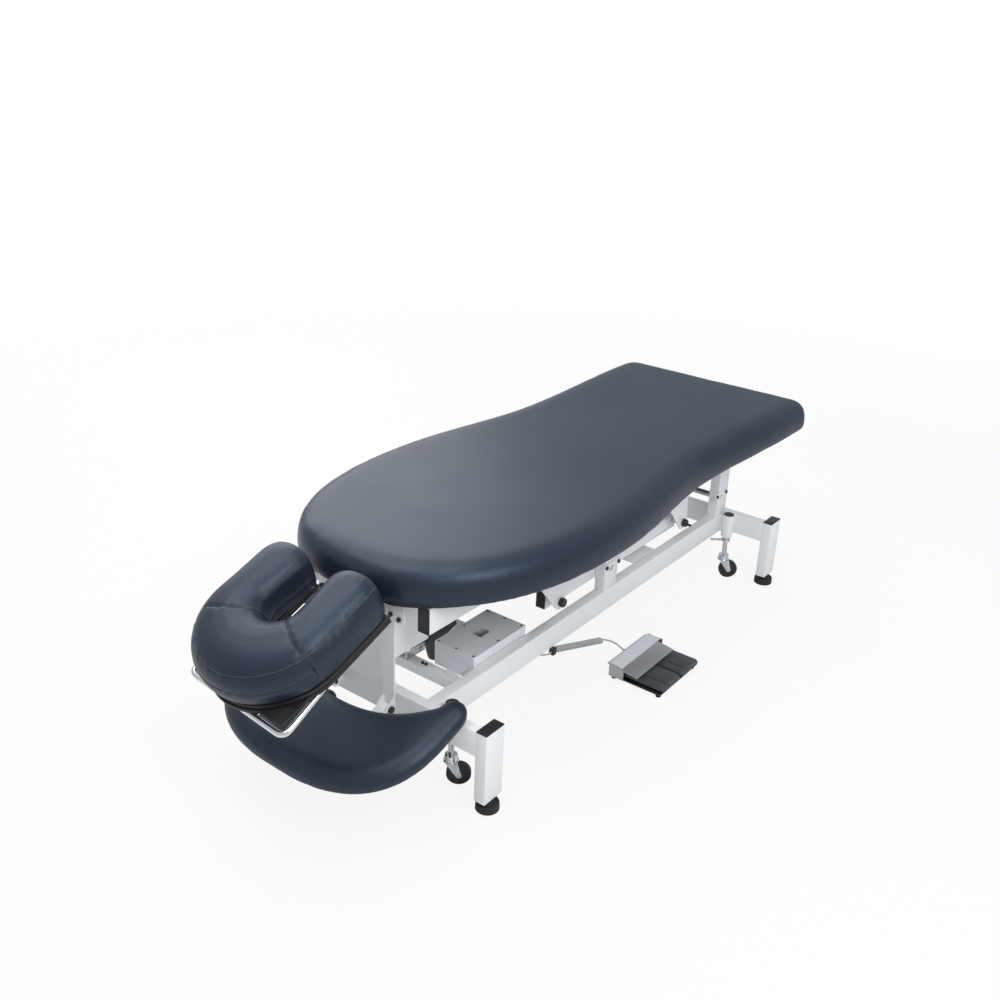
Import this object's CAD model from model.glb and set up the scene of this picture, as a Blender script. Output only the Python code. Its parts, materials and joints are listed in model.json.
# Electric massage table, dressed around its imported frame
import json
import math

import bmesh
import bpy
from mathutils import Matrix, Vector
from mathutils.bvhtree import BVHTree
from mathutils.kdtree import KDTree

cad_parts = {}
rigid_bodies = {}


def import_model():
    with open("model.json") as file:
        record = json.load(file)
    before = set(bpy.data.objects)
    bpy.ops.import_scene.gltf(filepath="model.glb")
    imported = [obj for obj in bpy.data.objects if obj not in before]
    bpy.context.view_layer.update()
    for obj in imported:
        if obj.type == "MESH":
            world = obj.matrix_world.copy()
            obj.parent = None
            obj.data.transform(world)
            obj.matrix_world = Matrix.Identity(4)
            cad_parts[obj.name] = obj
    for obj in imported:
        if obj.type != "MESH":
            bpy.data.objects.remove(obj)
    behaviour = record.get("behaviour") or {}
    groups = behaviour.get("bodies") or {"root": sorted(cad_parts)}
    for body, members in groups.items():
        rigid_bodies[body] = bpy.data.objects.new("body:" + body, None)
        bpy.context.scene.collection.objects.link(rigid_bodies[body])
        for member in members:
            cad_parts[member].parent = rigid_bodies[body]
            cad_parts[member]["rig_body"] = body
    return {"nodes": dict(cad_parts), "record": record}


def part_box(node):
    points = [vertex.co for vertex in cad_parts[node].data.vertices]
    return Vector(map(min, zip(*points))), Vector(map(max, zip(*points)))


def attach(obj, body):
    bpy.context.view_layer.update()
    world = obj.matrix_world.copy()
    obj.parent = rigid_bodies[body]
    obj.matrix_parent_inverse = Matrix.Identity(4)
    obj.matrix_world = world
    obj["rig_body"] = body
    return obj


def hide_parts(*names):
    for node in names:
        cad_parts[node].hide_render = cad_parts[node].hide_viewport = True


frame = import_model()
nodes = frame["nodes"]
slots = {part["node"]: part["material_slot"] for part in frame["record"]["subparts"]}
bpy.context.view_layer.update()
MM = 0.001


def placed(name, data):
    piece = bpy.data.objects.new(name, data)
    bpy.context.scene.collection.objects.link(piece)
    return piece


def chosen(piece):
    bpy.ops.object.select_all(action="DESELECT")
    piece.select_set(True)
    bpy.context.view_layer.objects.active = piece


def finished(piece, body, slot, *replaced):
    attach(piece, body)
    if replaced:
        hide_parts(*replaced)
    return piece


# Camera of the photograph, in front of the table's head end and to its right.
# Its place, turn and focal length come from the straight edges of the base frame.
camera_place = Vector((-2.50169, -1.65512, 1.78785))
camera_right = Vector((0.6108142, -0.7908951, 0.03729534))
camera_down = Vector((-0.30120918, -0.27567189, -0.91284064))
camera_ahead = Vector((0.73224247, 0.54634233, -0.40660917))
camera_data = bpy.data.cameras.new("camera")
camera_data.lens = 39.065
camera_data.sensor_width = 36.0
camera_data.clip_end = 40.0
camera = placed("camera", camera_data)
camera.matrix_world = Matrix.Translation(camera_place) @ Matrix(
    (camera_right, -camera_down, -camera_ahead)).transposed().to_4x4()
bpy.context.scene.camera = camera
bpy.context.scene.view_settings.view_transform = "Standard"


# The pedal's cord: a thin grey lead that winds into a curly stretch, from the control box under
# the rail to the foot pedals. It is one moulded cord, held once by a clip under the rail.
def spline(points, steps):
    # a smooth run through points chosen by hand
    run = []
    for i in range(len(points) - 1):
        a, b = points[max(0, i - 1)], points[i]
        c, d = points[i + 1], points[min(len(points) - 1, i + 2)]
        for k in range(steps):
            t = k / steps
            run.append(0.5 * (2 * b + (c - a) * t + (2 * a - 5 * b + 4 * c - d) * t ** 2
                              + (3 * b - a - 3 * c + d) * t ** 3))
    return run + [points[-1]]


cord_width = 5 * MM
curl_width = 20 * MM
curls = 24
turn_steps = 16
ease_steps = 10
lead_steps = 4
lead_in = [Vector(p) * MM for p in (
    (-372, -150, 212), (-362, -150, 211), (-346, -152, 196), (-336, -158, 170), (-331, -172, 155),
    (-325, -195, 151), (-315, -211, 154), (-306, -214, 155), (-300, -214, 155))]
curl_start = Vector((-279, -214, 155)) * MM
curl_end = Vector((-36, -222, 77)) * MM
curl_axis = (curl_end - curl_start).normalized()
lead_out = [curl_end + curl_axis * cord_width, curl_end + curl_axis * 3 * cord_width]
lead_out += [Vector(p) * MM for p in (
    (0, -235, 61), (14, -246, 49), (20, -258, 39), (20, -266, 35), (20, -272, 35))]
across = curl_axis.cross(Vector((0, 0, 1))).normalized()
upward = curl_axis.cross(across)
total_steps = curls * turn_steps
coil = []
for k in range(total_steps + 1):
    angle = 2 * math.pi * k / turn_steps
    ease = min(1, k / ease_steps, (total_steps - k) / ease_steps)
    side = (across * math.cos(angle) + upward * math.sin(angle)) * ease
    coil.append(curl_start.lerp(curl_end, k / total_steps) + side * (curl_width - cord_width) / 2)
cord_route = spline(lead_in, lead_steps) + coil + spline(lead_out, lead_steps)
cord_length = sum((b - a).length for a, b in zip(cord_route, cord_route[1:]))
cord_curve = bpy.data.curves.new("pedal_cord", "CURVE")
cord_curve.dimensions = "3D"
# the points carry the cord's radius, which keeps the bounds of the piece true
cord_curve.bevel_depth = 1.0
cord_curve.bevel_resolution = 4
cord_curve.use_fill_caps = True
cord_line = cord_curve.splines.new("POLY")
cord_line.points.add(len(cord_route) - 1)
for point, place in zip(cord_line.points, cord_route):
    point.co = (*place, 1)
    point.radius = cord_width / 2
pedal_cord = placed("pedal_cord", cord_curve)
finished(pedal_cord, "base", "cord", "curly_cord", "pedal_lead")


# Materials: each is written as sums of noise, so its roughness, tone and grain change a little over
# the surface. The cord gets the first one.
class Signal:
    # a shader socket that adds its own Math node when it stands in a sum
    def __init__(self, finish, socket):
        self.finish = finish
        self.socket = socket

    def sum(self, operation, first, second):
        return self.finish.node("ShaderNodeMath", {"operation": operation}, {0: first, 1: second})

    def __add__(self, other):
        return self.sum("ADD", self, other)

    __radd__ = __add__

    def __mul__(self, other):
        return self.sum("MULTIPLY", self, other)


class Finish:
    # a material written as expressions
    def __init__(self, name):
        self.material = bpy.data.materials.new(name)
        self.material.use_nodes = True
        self.tree = self.material.node_tree
        self.tree.nodes.clear()
        self.place = self.node("ShaderNodeTexCoord", {}, {}, "Object")

    def node(self, kind, settings, inputs, output=0):
        made = self.tree.nodes.new(kind)
        for name, value in settings.items():
            setattr(made, name, value)
        for name, value in inputs.items():
            if isinstance(value, Signal):
                self.tree.links.new(value.socket, made.inputs[name])
            else:
                made.inputs[name].default_value = value
        return Signal(self, made.outputs[output])

    def noise(self, scale, detail=2.0, stretch=None):
        place = self.place
        if stretch:
            place = self.node("ShaderNodeMapping", {}, {"Vector": place, "Scale": stretch})
        return self.node("ShaderNodeTexNoise", {},
                         {"Vector": place, "Scale": scale, "Detail": detail})

    def cells(self, scale, feature="F1"):
        return self.node("ShaderNodeTexVoronoi", {"feature": feature},
                         {"Vector": self.place, "Scale": scale})

    def ramp(self, value, low, high):
        return self.node("ShaderNodeMapRange", {"clamp": True},
                         {"Value": value, "From Min": low, "From Max": high})

    def mix(self, share, first, second):
        return self.node("ShaderNodeMix", {"data_type": "RGBA"},
                         {0: share, 6: (*first, 1.0), 7: (*second, 1.0)}, 2)

    def bump(self, height, strength, depth):
        return self.node("ShaderNodeBump", {},
                         {"Height": height, "Strength": strength, "Distance": depth})

    def surface(self, color, roughness, normal=None, **fixed):
        inputs = {"Base Color": color, "Roughness": roughness}
        inputs.update({name.replace("_", " ").title(): value for name, value in fixed.items()})
        if normal is not None:
            inputs["Normal"] = normal
        self.end(self.node("ShaderNodeBsdfPrincipled", {}, inputs))
        return self.material

    def end(self, shader):
        out = self.tree.nodes.new("ShaderNodeOutputMaterial")
        self.tree.links.new(shader.socket, out.inputs["Surface"])


def dress(piece, material):
    piece.data.materials.clear()
    piece.data.materials.append(material)
    return piece


def cord_plastic():
    f = Finish("cord_plastic")
    tone = f.mix(f.noise(60), (0.42, 0.44, 0.44), (0.52, 0.54, 0.54))
    return f.surface(tone, 0.38 + f.noise(300) * 0.1)


dress(pedal_cord, cord_plastic())


# Floor and light: a pale sweep and large soft lamps, as in a plain studio. The floor keeps the
# table's shadow near it, and turns pure white to the camera further out.
def studio():
    bpy.ops.mesh.primitive_plane_add(size=60, location=(0, 0, -0.5 * MM))
    floor = bpy.context.object
    floor.name = "floor"
    f = Finish("floor_white")
    matte = f.node("ShaderNodeBsdfDiffuse", {}, {"Color": (0.75, 0.75, 0.75, 1)})
    glow = f.node("ShaderNodeEmission", {}, {"Color": (1, 1, 1, 1), "Strength": 1.0})
    seen = f.node("ShaderNodeLightPath", {}, {}, "Is Camera Ray")
    reach = f.node("ShaderNodeVectorMath", {"operation": "LENGTH"}, {0: f.place}, "Value")
    fade = {"Value": reach, "From Min": 1.4, "From Max": 5.0, "To Min": 0.88, "To Max": 1.0}
    share = seen * f.node("ShaderNodeMapRange", {"interpolation_type": "SMOOTHSTEP"}, fade)
    f.end(f.node("ShaderNodeMixShader", {}, {0: share, 1: matte, 2: glow}))
    dress(floor, f.material)

    world = bpy.data.worlds.new("studio_air")
    bpy.context.scene.world = world
    world.use_nodes = True
    tree = world.node_tree
    tree.nodes.clear()
    path = tree.nodes.new("ShaderNodeLightPath")
    dim = tree.nodes.new("ShaderNodeBackground")
    dim.inputs["Color"].default_value = (0.90, 0.95, 1.0, 1)
    dim.inputs["Strength"].default_value = 0.60
    white = tree.nodes.new("ShaderNodeBackground")
    white.inputs["Color"].default_value = (1, 1, 1, 1)
    white.inputs["Strength"].default_value = 1.0
    mixed = tree.nodes.new("ShaderNodeMixShader")
    out = tree.nodes.new("ShaderNodeOutputWorld")
    tree.links.new(path.outputs["Is Camera Ray"], mixed.inputs[0])
    tree.links.new(dim.outputs[0], mixed.inputs[1])
    tree.links.new(white.outputs[0], mixed.inputs[2])
    tree.links.new(mixed.outputs[0], out.inputs["Surface"])

    aim = Vector((0, 0, 0.4))
    for name, place, width, power in (("key_lamp", (-1.2, -2.4, 3.0), 1.8, 56.0),
                                      ("back_lamp", (1.2, 2.9, 2.6), 3.4, 60.0),
                                      ("top_lamp", (-0.9, 0.5, 3.3), 2.4, 48.0)):
        lamp = bpy.data.lights.new(name, "AREA")
        lamp.shape = "SQUARE"
        lamp.size = width
        lamp.energy = power
        holder = placed(name, lamp)
        holder.location = place
        holder.rotation_euler = (aim - Vector(place)).to_track_quat("-Z", "Y").to_euler()


studio()


# Welded frame of rectangular steel tube, powder coated white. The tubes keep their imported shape, and
# each shows a small rounded edge, as drawn tube has. Its few bolts are black or bright.
def powder_coat():
    f = Finish("powder_coat")
    tone = f.mix(f.noise(3.0), (0.87, 0.88, 0.89), (0.90, 0.905, 0.91))
    peel = f.noise(420.0, 3.0)
    return f.surface(tone, 0.30 + f.noise(24.0) * 0.08, f.bump(peel, 0.12, 0.0002))


def moulded(name, low, high, rough, grain):
    f = Finish(name)
    tone = f.mix(f.noise(40.0), low, high)
    return f.surface(tone, rough + f.noise(90.0) * 0.12, f.bump(f.noise(grain, 3.0), 0.15, 0.0003))


def plated(name, low, high, rough):
    f = Finish(name)
    tone = f.mix(f.noise(18.0), low, high)
    return f.surface(tone, rough + f.noise(140.0, 3.0) * 0.08, f.bump(f.noise(500.0), 0.05, 0.0001),
                     metallic=1.0)


def edged(piece, radius, segments=3):
    # the piece's sharp edges rounded, its curved sides shaded smooth
    chosen(piece)
    bevel = piece.modifiers.new("edge", "BEVEL")
    bevel.width = radius
    bevel.segments = segments
    bevel.limit_method = "ANGLE"
    bevel.angle_limit = math.radians(40)
    bevel.use_clamp_overlap = True
    bpy.ops.object.modifier_apply(modifier="edge")
    bpy.ops.object.shade_smooth_by_angle(angle=math.radians(35))
    return piece


def eased(node, radius, material):
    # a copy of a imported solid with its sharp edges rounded
    source = nodes[node]
    piece = placed(node + "_skin", source.data.copy())
    mesh = bmesh.new()
    mesh.from_mesh(piece.data)
    bmesh.ops.remove_doubles(mesh, verts=mesh.verts, dist=0.02 * MM)
    bmesh.ops.dissolve_limit(mesh, angle_limit=math.radians(0.5), verts=mesh.verts,
                             edges=mesh.edges)
    mesh.to_mesh(piece.data)
    mesh.free()
    edged(piece, radius)
    dress(piece, material)
    return finished(piece, source["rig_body"], slots[node], node)


def paint(piece, material, inside):
    # a second material on the faces whose middle passes the test
    piece.data.materials.append(material)
    index = len(piece.data.materials) - 1
    for face in piece.data.polygons:
        if inside(face.center):
            face.material_index = index
    return piece


def near_line(point, x, z, reach):
    # whether a point lies close to a line that runs across the table
    return math.hypot(point.x - x, point.z - z) < reach


white = powder_coat()
black = moulded("black_plastic", (0.012, 0.012, 0.014), (0.022, 0.022, 0.024), 0.36, 900.0)
rubber = moulded("black_rubber", (0.010, 0.010, 0.011), (0.020, 0.020, 0.021), 0.58, 600.0)
chrome = plated("chrome_plate", (0.72, 0.73, 0.75), (0.80, 0.81, 0.82), 0.08)
steel = plated("bright_steel", (0.50, 0.51, 0.52), (0.60, 0.61, 0.62), 0.24)
frame_skins = {}
for tube, rounding in (("legs", 0.003), ("cross_beams", 0.003), ("base_rails", 0.003),
                       ("box_crossbars", 0.002), ("cross_plates", 0.001), ("lift_posts", 0.003),
                       ("shaft_keepers", 0.0008), ("caster_sleeves", 0.0012),
                       ("actuator_anchor", 0.001), ("upper_rails", 0.003),
                       ("upper_crossbars", 0.002), ("tie_tubes", 0.0015),
                       ("cradle_sockets", 0.0008), ("lift_lugs", 0.0012), ("front_lever", 0.0015),
                       ("rear_lever", 0.0015), ("armrest_hanger", 0.0008),
                       ("armrest_arms", 0.0012)):
    frame_skins[tube] = eased(tube, rounding, white)
past_crossbar = 195.4 * MM
past_keeper = 214.2 * MM
anchor_pin = (-585 * MM, 205 * MM, 7.3 * MM)
paint(frame_skins["box_crossbars"], black, lambda c: c.z > past_crossbar)
paint(frame_skins["shaft_keepers"], black, lambda c: abs(c.y) > past_keeper)
paint(frame_skins["actuator_anchor"], steel, lambda c: near_line(c, *anchor_pin))


# Black plastic and rubber: tube caps, feet, buffers, nuts and knobs, moulded and slightly shiny.
for cap, rounding in (("leg_caps", 0.0012), ("rail_caps", 0.0008), ("lever_caps", 0.0008),
                      ("cord_gland", 0.001), ("shaft_nuts", 0.002), ("hanger_bolts", 0.0012),
                      ("cradle_lever", 0.0015)):
    eased(cap, rounding, black)
for foot, rounding in (("rubber_feet", 0.003), ("post_buffers", 0.0015)):
    eased(foot, rounding, rubber)


# Bright metal: shafts, caster stems and forks, actuator rod, and the cradle's posts in their black
# yoke.
for shaft in ("base_shafts", "frame_shafts"):
    eased(shaft, 0.001, steel)
for corner in ("head_right", "head_left", "foot_right", "foot_left"):
    eased("stem_" + corner, 0.001, chrome)
    eased("fork_" + corner, 0.0008, chrome)
    eased("wheel_" + corner, 0.003, black)
eased("actuator_rod", 0.001, chrome)
yoke_back = -881.5 * MM
tilt_axis = (-912 * MM, 500 * MM)
tilt_pin = 6.3 * MM
yoke_inner = 84.5 * MM
yoke_outer = 95.5 * MM


def bright_post(c):
    # the posts behind the yoke, and the pin it holds
    on_pin = near_line(c, *tilt_axis, tilt_pin) and not yoke_inner < abs(c.y) < yoke_outer
    return c.x > yoke_back or on_pin


paint(eased("cradle_posts", 0.0012, black), steel, bright_post)


# Actuator: a closed motor drive with a moulded grey housing.
drive_grey = moulded("drive_grey", (0.045, 0.047, 0.050), (0.060, 0.062, 0.066), 0.42, 700.0)
eased("actuator_body", 0.003, drive_grey)


# Control box: light grey moulded case and lid with black screws, a bare metal plate and white plugs.
box_grey = moulded("box_grey", (0.84, 0.87, 0.90), (0.87, 0.90, 0.93), 0.36, 1100.0)
plug_white = moulded("plug_white", (0.72, 0.72, 0.72), (0.78, 0.78, 0.78), 0.35, 900.0)
board_green = moulded("board_green", (0.01, 0.10, 0.04), (0.02, 0.14, 0.05), 0.45, 400.0)
plate_metal = plated("plate_metal", (0.50, 0.51, 0.52), (0.62, 0.63, 0.64), 0.34)
box_low, box_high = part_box("box_lid")
plate_thick = 0.6 * MM
lid_top = box_high[2] - plate_thick
screw_in = 8 * MM
screw_reach = 3.9 * MM
screw_sunk = 2.4 * MM
screw_xs = (box_low[0] + screw_in, (box_low[0] + box_high[0]) / 2, box_high[0] - screw_in)
screw_ys = (box_low[1] + screw_in, (box_low[1] + box_high[1]) / 2, box_high[1] - screw_in)
screw_places = [(x, y) for x in screw_xs for y in screw_ys if (x, y) != (screw_xs[1], screw_ys[1])]


def on_screw(c):
    near = any(math.hypot(c.x - x, c.y - y) < screw_reach for x, y in screw_places)
    return c.z > lid_top - screw_sunk and near


eased("box_case", 0.002, box_grey)
lid = eased("box_lid", 0.0006, box_grey)
paint(lid, black, on_screw)
paint(lid, plate_metal, lambda c: c.z > lid_top + 0.1 * MM)
eased("box_glands", 0.001, plug_white)
eased("control_board", 0.0003, board_green)


# Boards: plywood under the cushions, painted black.
board_black = moulded("board_black", (0.010, 0.010, 0.012), (0.018, 0.018, 0.020), 0.5, 300.0)
eased("deck_board", 0.002, board_black)
eased("cradle_platform", 0.002, board_black)


# Hook-and-loop patches on the corners of the cradle's board, where a cover is pressed on: dull black
# pile, a little ragged.
def pile():
    f = Finish("hook_pile")
    tufts = f.cells(900.0)
    tone = f.mix(f.ramp(tufts, 0.1, 0.7), (0.030, 0.031, 0.034), (0.008, 0.008, 0.010))
    return f.surface(tone, 0.82, f.bump(tufts + f.noise(500.0, 3.0) * 0.6, 0.8, 0.0012))


cradle_tip = Vector((-904, 0, 527)) * MM
cradle_turn = math.radians(21.8)


def cradle_place(x, y, z):
    # from the cradle's own flat frame to its place
    return cradle_tip + Vector((x * math.cos(cradle_turn) - z * math.sin(cradle_turn), y,
                                x * math.sin(cradle_turn) + z * math.cos(cradle_turn)))


def turned(piece):
    # a piece that was drawn in the cradle's flat frame, set in its place
    for vertex in piece.data.vertices:
        vertex.co = cradle_place(*vertex.co)
    piece.data.update()
    return piece


def from_mesh(name, mesh):
    # a piece made of an edited mesh
    bmesh.ops.recalc_face_normals(mesh, faces=mesh.faces)
    data = bpy.data.meshes.new(name)
    mesh.to_mesh(data)
    mesh.free()
    return placed(name, data)


def slab(name, outline, low, high):
    # a flat plate with the outline of its corners
    mesh = bmesh.new()
    count = len(outline)
    under = [mesh.verts.new((x, y, low)) for x, y in outline]
    upper = [mesh.verts.new((x, y, high)) for x, y in outline]
    mesh.faces.new(list(reversed(under)))
    mesh.faces.new(upper)
    for i in range(count):
        k = (i + 1) % count
        mesh.faces.new((under[i], under[k], upper[k], upper[i]))
    return from_mesh(name, mesh)


hook_pile = pile()
patch_low, patch_high = -0.5 * MM, 1.4 * MM
patch_corners = {"right": ((-355, -96), (-359.5, -154), (-318, -156), (-312, -140)),
                 "left": ((-312, 140), (-318, 156), (-335.5, 154), (-340, 96))}
for name, corners in patch_corners.items():
    patch = slab("hook_patch_" + name, [(x * MM, y * MM) for x, y in corners], patch_low, patch_high)
    edged(patch, 0.0006, 2)
    turned(patch)
    dress(patch, hook_pile)
    finished(patch, "face_cradle", "black_plastic")


# The cradle's bent rod: one chromed bar bent to a loop, two thinner bars inside it, and the hub on
# two links that it tilts on.
def tube_curve(name, points, width, closed=False):
    curve = bpy.data.curves.new(name, "CURVE")
    curve.dimensions = "3D"
    curve.bevel_depth = width / 2
    curve.bevel_resolution = 6
    curve.use_fill_caps = True
    line = curve.splines.new("POLY")
    line.points.add(len(points) - 1)
    line.use_cyclic_u = closed
    line.use_smooth = True
    for point, place in zip(line.points, points):
        point.co = (*place, 1)
    return placed(name, curve)


def bent(corners, radius, steps=10):
    # a closed run whose corners are turned on a radius
    run = []
    for i, corner in enumerate(corners):
        before = corner + (corners[i - 1] - corner).normalized() * radius
        after = corner + (corners[(i + 1) % len(corners)] - corner).normalized() * radius
        for k in range(steps + 1):
            t = k / steps
            run.append(before * (1 - t) ** 2 + corner * 2 * t * (1 - t) + after * t * t)
    return run


disc_steps = 32


def plate_round(name, discs, low, high):
    # a plate round some discs, each x, z and radius, that reaches across the table from low to high
    mesh = bmesh.new()
    for x, z, radius in discs:
        for k in range(disc_steps):
            angle = 2 * math.pi * k / disc_steps
            for y in (low, high):
                mesh.verts.new((x + radius * math.cos(angle), y, z + radius * math.sin(angle)))
    found = bmesh.ops.convex_hull(mesh, input=mesh.verts)
    spare = [v for v in found["geom_interior"] if isinstance(v, bmesh.types.BMVert)]
    bmesh.ops.delete(mesh, geom=spare, context="VERTS")
    bmesh.ops.recalc_face_normals(mesh, faces=mesh.faces)
    bmesh.ops.dissolve_limit(mesh, angle_limit=math.radians(1), verts=mesh.verts, edges=mesh.edges)
    return from_mesh(name, mesh)


rod_level = -18 * MM
rod_thick, inner_thick, rod_turn = 15 * MM, 12 * MM, 27 * MM
rod_half, rod_tail = 171 * MM, 142 * MM
rod_near, rod_far, rod_rear = -375 * MM, -350 * MM, -60 * MM
rod_corners = ((rod_rear, -rod_tail), (rod_near, -rod_half), (rod_far, rod_half), (rod_rear, rod_tail))
loop = bent([Vector((x, y, rod_level)) for x, y in rod_corners], rod_turn)
bent_rod = dress(tube_curve("bent_rod", [cradle_place(*p) for p in loop], rod_thick, True), chrome)
finished(bent_rod, "face_cradle", slots["cradle_frame"], "cradle_frame")
link_y, link_thick = 68 * MM, 12 * MM
axis_round, seat_round, hub_round = 9 * MM, 9.5 * MM, 11 * MM
seat = cradle_place(rod_rear, 0, rod_level)
for side, name in ((-1, "right"), (1, "left")):
    y = side * link_y
    front = rod_near + (rod_far - rod_near) * (y + rod_half) / (2 * rod_half)
    ends = [cradle_place(x, y, rod_level) for x in (front, rod_rear)]
    bar = tube_curve("inner_rod_" + name, ends, inner_thick)
    finished(dress(bar, chrome), "face_cradle", slots["cradle_frame"])
    link = plate_round("tilt_link_" + name, [(*tilt_axis, axis_round), (seat.x, seat.z, seat_round)],
                       y - link_thick / 2, y + link_thick / 2)
    edged(link, 0.0015)
    finished(dress(link, chrome), "face_cradle", slots["cradle_frame"])
hub = plate_round("tilt_hub", [(*tilt_axis, hub_round)], -yoke_inner, yoke_inner)
edged(hub, 0.0015)
finished(dress(hub, chrome), "face_cradle", slots["cradle_frame"])


# Foot pedals: two black moulded treads, each with a raised pad beside a lower strip, under a brushed
# metal cover with a bare pale strip, on a black base plate.
def brushed():
    f = Finish("brushed_cover")
    tone = f.mix(f.noise(30.0), (0.60, 0.59, 0.60), (0.70, 0.69, 0.70))
    lines = f.noise(60.0, 4.0, (1.0, 40.0, 1.0))
    return f.surface(tone, 0.30 + lines * 0.18, f.bump(lines, 0.08, 0.0002), metallic=1.0)


def closed_rings(name, rings):
    # a closed body from equal rings of points, its two end rings filled
    count = len(rings[0])
    mesh = bpy.data.meshes.new(name)
    faces = [tuple(reversed(range(count)))]
    for i in range(len(rings) - 1):
        for j in range(count):
            k = (j + 1) % count
            faces.append((i * count + j, i * count + k, (i + 1) * count + k, (i + 1) * count + j))
    faces.append(tuple(range((len(rings) - 1) * count, len(rings) * count)))
    mesh.from_pydata([tuple(p) for ring in rings for p in ring], [], faces)
    piece = placed(name, mesh)
    chosen(piece)
    bpy.ops.object.mode_set(mode="EDIT")
    bpy.ops.mesh.select_all(action="SELECT")
    bpy.ops.mesh.normals_make_consistent(inside=False)
    bpy.ops.object.mode_set(mode="OBJECT")
    return piece


tread_grey = moulded("tread_grey", (0.045, 0.052, 0.060), (0.060, 0.068, 0.078), 0.40, 700.0)
cover = eased("pedal_cover", 0.0008, brushed())
cover_low, cover_high = (Vector(c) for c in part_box("pedal_cover"))
cover_turn = Matrix.Rotation(math.radians(6.6), 3, "X")
cover_rear = Vector((0, cover_high.y - 0.2 * MM, cover_high.z))
strip_pale = moulded("strip_pale", (0.66, 0.68, 0.71), (0.72, 0.74, 0.77), 0.42, 500.0)
strip_in = 7 * MM
strip_front, strip_rear = -47 * MM, -4 * MM
strip_low, strip_high = -0.1 * MM, 0.3 * MM
strip_left, strip_right = cover_low.x + strip_in, cover_high.x - strip_in
strip = slab("cover_strip", [(strip_left, strip_front), (strip_right, strip_front),
                             (strip_right, strip_rear), (strip_left, strip_rear)],
             strip_low, strip_high)
for vertex in strip.data.vertices:
    # laid on the sloping cover
    vertex.co = cover_turn @ vertex.co + cover_rear
finished(dress(strip, strip_pale), "base", slots["pedal_cover"])
pedal_base = eased("pedal_base", 0.001, black)
hinge_front, hinge_rear, hinge_low = -322 * MM, -300 * MM, 14.3 * MM
paint(pedal_base, steel, lambda c: hinge_front < c.y < hinge_rear and c.z > hinge_low)
tread_top = 35 * MM
# across the tread: share of its width, and height under the top in millimetres
tread_profile = [(0.0, 9), (0.012, 4.4), (0.05, 3.2), (0.26, 3.2), (0.285, 5.6), (0.315, 5.6),
                 (0.34, 1.0), (0.375, 0.0), (0.93, 0.0), (0.975, 1.4), (0.998, 5.0), (1.0, 13.5),
                 (0.98, 15), (0.02, 15), (0.0, 13.5)]
# points this far under the top belong to its underside, and aren't lowered with it
tread_under = 12
# along the tread: distance from its front edge, how far the top is lowered, all in millimetres
tread_front = [(0.0, 7.0), (1.2, 4.0), (3.6, 1.6), (8.0, 0.2), (14.0, 0.0), (146.0, 0.0),
               (156.0, 3.0), (160.0, 6.0)]
for node in ("pedal_up", "pedal_down"):
    low, high = (Vector(c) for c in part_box(node))
    wide = high.x - low.x
    rings = []
    for along, drop in tread_front:
        ring = []
        for share, under in tread_profile:
            down = under + drop if under < tread_under else under
            ring.append(Vector((low.x + wide * share, low.y + along * MM, tread_top - down * MM)))
        rings.append(ring)
    tread = closed_rings(node + "_tread", rings)
    edged(tread, 0.0008, 2)
    finished(dress(tread, tread_grey), node, slots[node], node)


# Upholstery: dark slate-blue synthetic leather over foam, stretched smooth and stapled underneath.
# The cloth is inflated over each foam block, and held close to it.
def synthetic_leather():
    f = Finish("synthetic_leather")
    tone = f.mix(f.ramp(f.noise(2.2, 2.0), 0.3, 0.7), (0.011, 0.017, 0.029), (0.016, 0.023, 0.037))
    grain = f.cells(760.0, "DISTANCE_TO_EDGE")
    pores = f.noise(1300.0, 2.0)
    height = f.ramp(grain, 0.0, 0.28) + pores * 0.35
    return f.surface(tone, 0.34 + f.noise(7.0) * 0.08 + pores * 0.05, f.bump(height, 0.10, 0.0002),
                     specular_tint=(0.72, 0.84, 1.0, 1.0))


swell_frames = 20


def plump(piece, voxel, pressure, cap, floor_at):
    # remeshed evenly, blown up as cloth for some frames, and held within the cap and over its floor
    chosen(piece)
    piece.data.remesh_voxel_size = voxel
    bpy.ops.object.voxel_remesh()
    before = [v.co.copy() for v in piece.data.vertices]
    stuffing = piece.modifiers.new("stuffing", "CLOTH")
    stuffing.settings.quality = 4
    stuffing.settings.use_pressure = True
    stuffing.settings.uniform_pressure_force = pressure
    stuffing.settings.effector_weights.gravity = 0
    stuffing.point_cache.frame_end = swell_frames
    for moment in range(1, swell_frames + 1):
        bpy.context.scene.frame_set(moment)
    bpy.ops.object.modifier_apply(modifier="stuffing")
    bpy.context.scene.frame_set(1)
    for vertex, start in zip(piece.data.vertices, before):
        step = vertex.co - start
        if step.length > cap:
            step = step * (cap / step.length)
        vertex.co = start + step
        vertex.co.z = max(vertex.co.z, floor_at(vertex.co))
    return piece


def smoothed(piece, factor, times):
    chosen(piece)
    relax = piece.modifiers.new("relax", "SMOOTH")
    relax.factor = factor
    relax.iterations = times
    bpy.ops.object.modifier_apply(modifier="relax")
    return piece


def subdivided(piece):
    chosen(piece)
    finer = piece.modifiers.new("finer", "SUBSURF")
    finer.levels = 1
    finer.render_levels = 1
    bpy.ops.object.modifier_apply(modifier="finer")
    bpy.ops.object.shade_smooth()
    return piece


leather = synthetic_leather()


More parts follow.
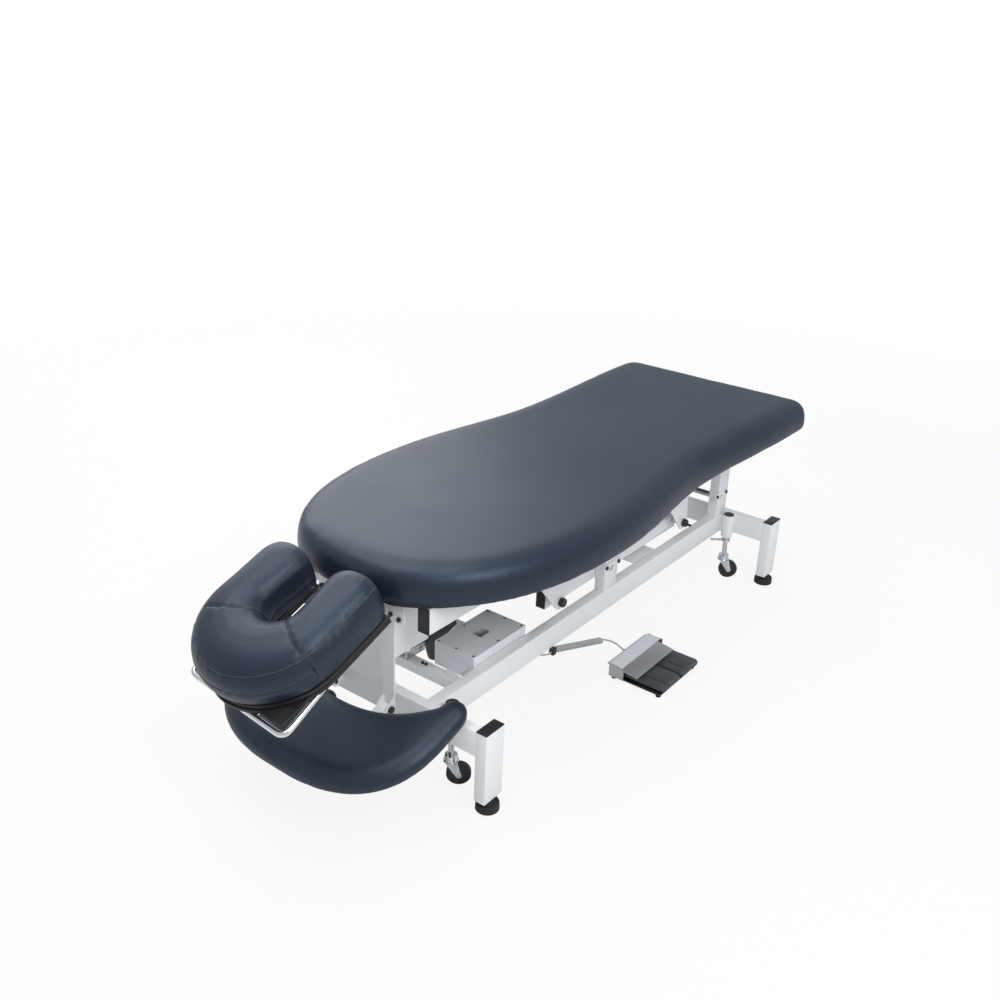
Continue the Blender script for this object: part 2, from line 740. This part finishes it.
# Tabletop cushion: one foam block cut to the hourglass outline, its rim rounded all the way round,
# the covering pulled under the board without a seam on top.
table_long = 1912 * MM
table_middle = 52 * MM
shoulder_half = 413 * MM
waist_half = 354 * MM
foot_half = 375 * MM
corner_round = 68 * MM
cushion_low = 532 * MM
cushion_high = 620 * MM
head_end = table_middle - table_long / 2
foot_end = table_middle + table_long / 2
shoulder_share, waist_share, hip_share = 0.328, 0.635, 0.93
shoulder_at = head_end + shoulder_share * table_long
waist_at = head_end + waist_share * table_long
hip_at = head_end + hip_share * table_long
head_power = 2.4
foam_thick = 87 * MM
side_steps, rim_steps = 1200, 420
# how far in from the outline the board's edge lies, and how far below its face the covering hangs
board_in, rim_hang = 28 * MM, 11 * MM
# the crown: its height, where it starts on the sides, its rise from the ends, and its limit
crown_high, crown_from, crown_reach, crown_cap = 3 * MM, 44 * MM, 300 * MM, 5 * MM
least_half = 20 * MM
end_in = 1 * MM


def eased_between(a, b, share):
    return a + (b - a) * (1 - math.cos(math.pi * share)) / 2


def half_width(x):
    if x < shoulder_at:
        share = min(1, (shoulder_at - x) / (shoulder_at - head_end))
        half = shoulder_half * (1 - share ** head_power) ** (1 / head_power)
    elif x < waist_at:
        half = eased_between(shoulder_half, waist_half, (x - shoulder_at) / (waist_at - shoulder_at))
    elif x < hip_at:
        half = eased_between(waist_half, foot_half, (x - waist_at) / (hip_at - waist_at))
    else:
        half = foot_half
    past = x - (foot_end - corner_round)
    if past > 0:
        half += math.sqrt(max(0, corner_round ** 2 - past ** 2)) - corner_round
    return half


def walked_evenly(whole, count):
    # a closed outline walked round at even steps
    lengths = [0.0]
    for a, b in zip(whole, whole[1:] + whole[:1]):
        lengths.append(lengths[-1] + (b - a).length)
    walked = []
    i = 0
    for k in range(count):
        goal = lengths[-1] * k / count
        while lengths[i + 1] < goal:
            i += 1
        share = (goal - lengths[i]) / max(1e-9, lengths[i + 1] - lengths[i])
        walked.append(whole[i].lerp(whole[(i + 1) % len(whole)], share))
    return walked


def block(name, outline, profile, low, thick):
    # a foam block over an outline; each step of its profile is a depth in from the rim and a height
    inward = []
    for before, after in zip(outline[-2:] + outline[:-2], outline[2:] + outline[:2]):
        along = (after - before).normalized()
        inward.append(Vector((along.y, -along.x)))
    rings = []
    for deep, share in profile:
        high = low + thick * share
        rings.append([Vector((p.x + n.x * deep, p.y + n.y * deep, high))
                      for p, n in zip(outline, inward)])
    return closed_rings(name, rings)


def mirrored(half_outline):
    # a closed outline from its left half, whose ends lie on the middle line
    return half_outline + [Vector((p.x, -p.y)) for p in reversed(half_outline[1:-1])]


table_side = []
for i in range(side_steps + 1):
    x = head_end + table_long * (1 - math.cos(math.pi * i / side_steps)) / 2
    table_side.append(Vector((x, half_width(x))))
table_side.append(Vector((foot_end, 0)))
table_outline = walked_evenly(mirrored(table_side), rim_steps)
# from the board round the rim to the top; below the board's face it hangs over the board's edge
bullnose = [(0.052, 0.0), (0.028, 0.0), (0.025, -0.11), (0.012, -0.12), (0.004, -0.07),
            (0.001, 0.03), (0.0, 0.16), (0.001, 0.32), (0.003, 0.48), (0.006, 0.62), (0.012, 0.75),
            (0.023, 0.87), (0.037, 0.945), (0.052, 0.985), (0.066, 1.0)]


def inside_ends(x):
    return min(foot_end - end_in, max(head_end + end_in, x))


def over_board(place):
    # how low the covering may reach: the board's face, or past its edge a little further
    along = head_end + board_in < place.x < foot_end - board_in
    inside = along and abs(place.y) < half_width(inside_ends(place.x)) - board_in
    return cushion_low if inside else cushion_low - rim_hang


tabletop = block("tabletop_cushion", table_outline, bullnose, cushion_low, foam_thick)
plump(tabletop, voxel=0.012, pressure=2.0, cap=0.005, floor_at=over_board)
smoothed(tabletop, factor=0.5, times=3)
for vertex in tabletop.data.vertices:
    # crowned towards its middle line
    if vertex.co.z > cushion_low + crown_from:
        half = max(least_half, half_width(inside_ends(vertex.co.x)))
        share = min(1, abs(vertex.co.y) / half)
        past_end = min(vertex.co.x - head_end, foot_end - vertex.co.x)
        vertex.co.z += crown_high * (1 - share ** 2) * max(0, min(1, past_end / crown_reach))
    vertex.co.z = min(max(vertex.co.z, over_board(vertex.co)), cushion_high + crown_cap)
subdivided(tabletop)
dress(tabletop, leather)
finished(tabletop, "upper_frame", "upholstery", "table_cushion")


# Arm rest pad: a crescent of the same foam and leather, tipped up towards the table, with round horns
# and no seam on top.
pad_middle = -880 * MM
pad_low = 217 * MM
pad_slope = math.tan(math.radians(19.3))
pad_long = 346 * MM
pad_half = 332 * MM
pad_across = 218 * MM
pad_thick = 51 * MM
pad_horn = 38 * MM
pad_ahead = 0.75 * pad_long
pad_power = 2.6
pad_steps, crescent_steps = 600, 300
pad_front = pad_middle - pad_ahead
horn_y = pad_half - pad_horn
horn_x = pad_front + pad_long - pad_horn
bay_y = pad_half - 2 * pad_horn


def pad_outer(y):
    return pad_middle - pad_ahead * max(0, 1 - (y / pad_half) ** pad_power) ** (1 / pad_power)


def pad_inner(y):
    if y < bay_y:
        return pad_front + pad_across + (horn_x - pad_front - pad_across) * (y / bay_y) ** pad_power
    return horn_x + math.sqrt(max(0, pad_horn ** 2 - (y - horn_y) ** 2))


pad_ys = [pad_half * math.sin(math.pi / 2 * i / pad_steps) for i in range(pad_steps + 1)]
half_pad = [Vector((pad_outer(y), y)) for y in pad_ys]
half_pad += [Vector((pad_inner(y), y)) for y in reversed(pad_ys)]
crescent = walked_evenly(mirrored(half_pad), crescent_steps)
pad_edge = [(0.028, 0.0), (0.012, 0.02), (0.004, 0.14), (0.001, 0.34), (0.0, 0.52), (0.003, 0.68),
            (0.009, 0.81), (0.018, 0.92), (0.030, 0.985)]
pad = block("arm_pad", crescent, pad_edge, 0, pad_thick)
plump(pad, voxel=0.007, pressure=3.0, cap=0.004, floor_at=lambda place: 0)
smoothed(pad, factor=0.5, times=3)
subdivided(pad)
for vertex in pad.data.vertices:
    # laid on the sloping arms
    vertex.co.z += pad_low + pad_slope * (vertex.co.x - pad_middle)
dress(pad, leather)
finished(pad, "arm_rest", "upholstery", "armrest_pad")


# Cradle cushion: a horseshoe bolster of foam, sewn from top panels and side bands, with a seam round
# its outer shoulder, one in the opening and one across each side of the top.
gap_half = 47 * MM
bolster_half = 195 * MM
bolster_side = 5 * MM
inner_x = -140 * MM
outer_x = -197 * MM
tip_x = -4 * MM
tip_round = 45 * MM
tip_power = 2.4
# at the very tips: shares of the full width and height, how far the gap narrows, how far they lean
tip_width, tip_tall, tip_pinch, tip_lean = 0.35, 0.6, 0.16, 0.1
bolster_thick = 120 * MM
bolster_low = 9 * MM
arm_share = 0.2
arm_stations, bend_stations, station_power = 14, 40, 1.6
# the foam is drawn a little slim, because the cloth swells
slim_width, slim_tall = 0.965, 0.975
# across the bolster, from its rim over the top to the opening: shares of its width and height
roll = [(0.93, 0.0), (0.985, 0.10), (1.0, 0.34), (0.972, 0.58), (0.915, 0.78), (0.84, 0.875),
        (0.74, 0.95), (0.59, 0.99), (0.43, 1.0), (0.27, 0.965), (0.13, 0.87), (0.04, 0.71),
        (0.004, 0.5), (0.0, 0.3), (0.02, 0.06), (0.10, 0.0)]


def roll_point(along, out, up):
    # a point of the bolster's skin: its place along the horseshoe, across it and up, all as shares
    if arm_share <= along <= 1 - arm_share:
        angle = math.pi * (0.5 + (along - arm_share) / (1 - 2 * arm_share))
        inner = Vector((inner_x + gap_half * math.cos(angle), gap_half * math.sin(angle)))
        outer = Vector((outer_x + bolster_half * math.cos(angle), bolster_half * math.sin(angle)))
        width, tall, lean = 1, 1, 0
    else:
        side = 1 if along < 0.5 else -1
        t = min(along, 1 - along) / arm_share
        inner = Vector((tip_x + (inner_x - tip_x) * t, side * gap_half * (1 - tip_pinch * (1 - t))))
        outer = Vector((tip_x + (outer_x - tip_x) * t, side * bolster_half))
        end = MM + (tip_x - inner_x) * t
        near = max(0, 1 - end / tip_round)
        full = (1 - near ** tip_power) ** (1 / tip_power)
        width = tip_width + (1 - tip_width) * full
        tall = tip_tall + (1 - tip_tall) * full
        lean = tip_lean * near
    place = (inner + outer) / 2 + (outer - inner) / 2 * width * (2 * out - 1)
    high = bolster_thick * tall * up
    return Vector((place.x + lean * high, place.y + bolster_side, bolster_low + high))


stations = [arm_share * (i / arm_stations) ** station_power for i in range(arm_stations)]
stations += [arm_share + (1 - 2 * arm_share) * i / bend_stations for i in range(bend_stations + 1)]
stations += [1 - s for s in reversed(stations[:arm_stations])]
slim_roll = [(0.5 + (out - 0.5) * slim_width, up * slim_tall) for out, up in roll]
bolster_rings = [[roll_point(s, out, up) for out, up in slim_roll] for s in stations]
bolster = closed_rings("cradle_bolster", bolster_rings)
plump(bolster, voxel=0.005, pressure=4.0, cap=0.005, floor_at=lambda place: bolster_low)
smoothed(bolster, factor=0.5, times=4)
for vertex in bolster.data.vertices:
    vertex.co.z = max(bolster_low, vertex.co.z)
subdivided(bolster)


def seam_path(steps, first, last):
    # a seam over the skin between two places, each along, out and up
    path = []
    for k in range(steps + 1):
        t = k / steps
        path.append(roll_point(*(a + (b - a) * t for a, b in zip(first, last))))
    return path


over_top = roll[14:4:-1]
top_steps = 6


def across_top(inner_along, outer_along):
    # a seam that follows the section from the opening over the top to the outer shoulder
    path = []
    for (out, up), (next_out, next_up) in zip(over_top, over_top[1:]):
        for k in range(top_steps):
            t = k / top_steps
            across_it = out + (next_out - out) * t
            along = inner_along + (outer_along - inner_along) * across_it
            path.append(roll_point(along, across_it, up + (next_up - up) * t))
    return path


shoulder_seam = seam_path(12, (0.0, 0.10, 0.80), (0.0, 0.90, 0.80))
shoulder_seam += seam_path(240, (0.004, 0.915, 0.80), (0.996, 0.915, 0.80))
shoulder_seam += seam_path(12, (1.0, 0.90, 0.80), (1.0, 0.10, 0.80))
front_seam = seam_path(120, (0.27, 1.0, 0.45), (0.745, 1.0, 0.45))
gap_seam = seam_path(160, (0.02, 0.0, 0.30), (0.98, 0.0, 0.30))
far_panel = across_top(0.388, 0.249)
near_panel = across_top(0.675, 0.745)
far_band = seam_path(20, (0.249, 0.93, 0.76), (0.243, 0.99, 0.05))
near_band = seam_path(20, (0.745, 0.93, 0.76), (0.757, 0.99, 0.05))
seams = {"shoulder": shoulder_seam, "front": front_seam, "gap": gap_seam, "far_panel": far_panel,
         "near_panel": near_panel, "far_band": far_band, "near_band": near_band}


mark_steps = 4
seam_reach, pucker_reach = 20 * MM, 9 * MM
fine_wave, slow_wave, wave_shift = 5.2 * MM, 17.3 * MM, 1.1


def stitched(piece, paths, groove, deep, pucker):
    # sinks a groove along each seam and draws small puckers into it
    marks = []
    for path in paths:
        walk = 0.0
        for a, b in zip(path, path[1:]):
            for k in range(mark_steps):
                t = k / mark_steps
                marks.append((a.lerp(b, t), walk + (b - a).length * t))
            walk += (b - a).length
    tree = KDTree(len(marks))
    for i, (place, _) in enumerate(marks):
        tree.insert(place, i)
    tree.balance()
    steps = {}
    for vertex in piece.data.vertices:
        _, i, distance = tree.find(vertex.co)
        if distance < seam_reach:
            walk = marks[i][1]
            wave = 0.5 + 0.5 * math.sin(walk / fine_wave) * math.sin(walk / slow_wave + wave_shift)
            drawn = pucker * wave * math.exp(-(distance / pucker_reach) ** 2)
            sink = deep * math.exp(-(distance / groove) ** 2) + drawn
            steps[vertex.index] = vertex.normal * -sink
    for i, step in steps.items():
        piece.data.vertices[i].co += step
    piece.data.update()


thread_blue = moulded("thread_blue", (0.090, 0.110, 0.145), (0.120, 0.145, 0.185), 0.55, 900.0)
stitched(bolster, seams.values(), groove=3.2 * MM, deep=3.4 * MM, pucker=2.4 * MM)
skin = BVHTree.FromPolygons([v.co.copy() for v in bolster.data.vertices],
                            [tuple(face.vertices) for face in bolster.data.polygons])
beside_cross, beside_long = Vector((2.4, 0, 0.5)) * MM, Vector((0, 0, 2.4)) * MM
crossing = ("far_panel", "near_panel", "far_band", "near_band")
seam_width, thread_width = 1.5 * MM, 0.7 * MM
for name, path in seams.items():
    # a dark line in the groove, and a row of thread beside it
    beside = beside_cross if name in crossing else beside_long
    for layer, shift, width, colour in (("seam_", Vector(), seam_width, black),
                                        ("thread_", beside, thread_width, thread_blue)):
        laid = [cradle_place(*skin.find_nearest(p + shift)[0]) for p in path]
        thread = tube_curve(layer + name, laid, width)
        finished(dress(thread, colour), "face_cradle", "upholstery")
turned(bolster)
dress(bolster, leather)
base_half, base_gap, base_end = 176 * MM, 60 * MM, -16 * MM
base_low, base_lap, arc_steps = 0.2 * MM, 1 * MM, 40
arc = [math.pi * (0.5 + i / arc_steps) for i in range(arc_steps + 1)]
base_rim = [(base_end, base_half)]
base_rim += [(outer_x + base_half * math.cos(a), base_half * math.sin(a)) for a in arc]
base_rim += [(base_end, -base_half), (base_end, -base_gap)]
base_rim += [(inner_x + base_gap * math.cos(a), base_gap * math.sin(a)) for a in reversed(arc)]
base_rim += [(base_end, base_gap)]
base = slab("cushion_base", base_rim, base_low, bolster_low + base_lap)
edged(base, 0.0015)
turned(base)
finished(dress(base, board_black), "face_cradle", "upholstery")
finished(bolster, "face_cradle", "upholstery", "cradle_cushion")
